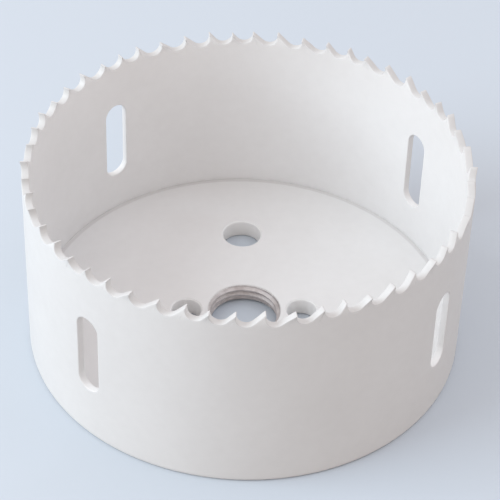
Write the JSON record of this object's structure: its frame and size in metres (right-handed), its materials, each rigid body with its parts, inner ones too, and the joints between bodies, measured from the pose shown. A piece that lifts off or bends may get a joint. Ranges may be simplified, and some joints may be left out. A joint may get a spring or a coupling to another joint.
{
  "type": "hole saw",
  "caption": "Cup-shaped hole saw: a toothed, slotted round wall welded to a backing plate with a threaded arbor hole and drive pin holes.",
  "frame": {"origin": "centre of the backing plate's outside face, on the saw's axis", "axes": "+Z along the saw's axis towards the teeth, +X towards the drive pin hole beside the wall's own weld"},
  "size_m": [0.095, 0.0943, 0.0457],
  "materials": {
    "white_paint": "satin white paint over steel",
    "bare_steel": "bare cut thread, slightly oiled"
  },
  "bodies": {
    "root": {"saw_body": "white_paint", "backing_plate": "white_paint"}
  },
  "joints": []
}
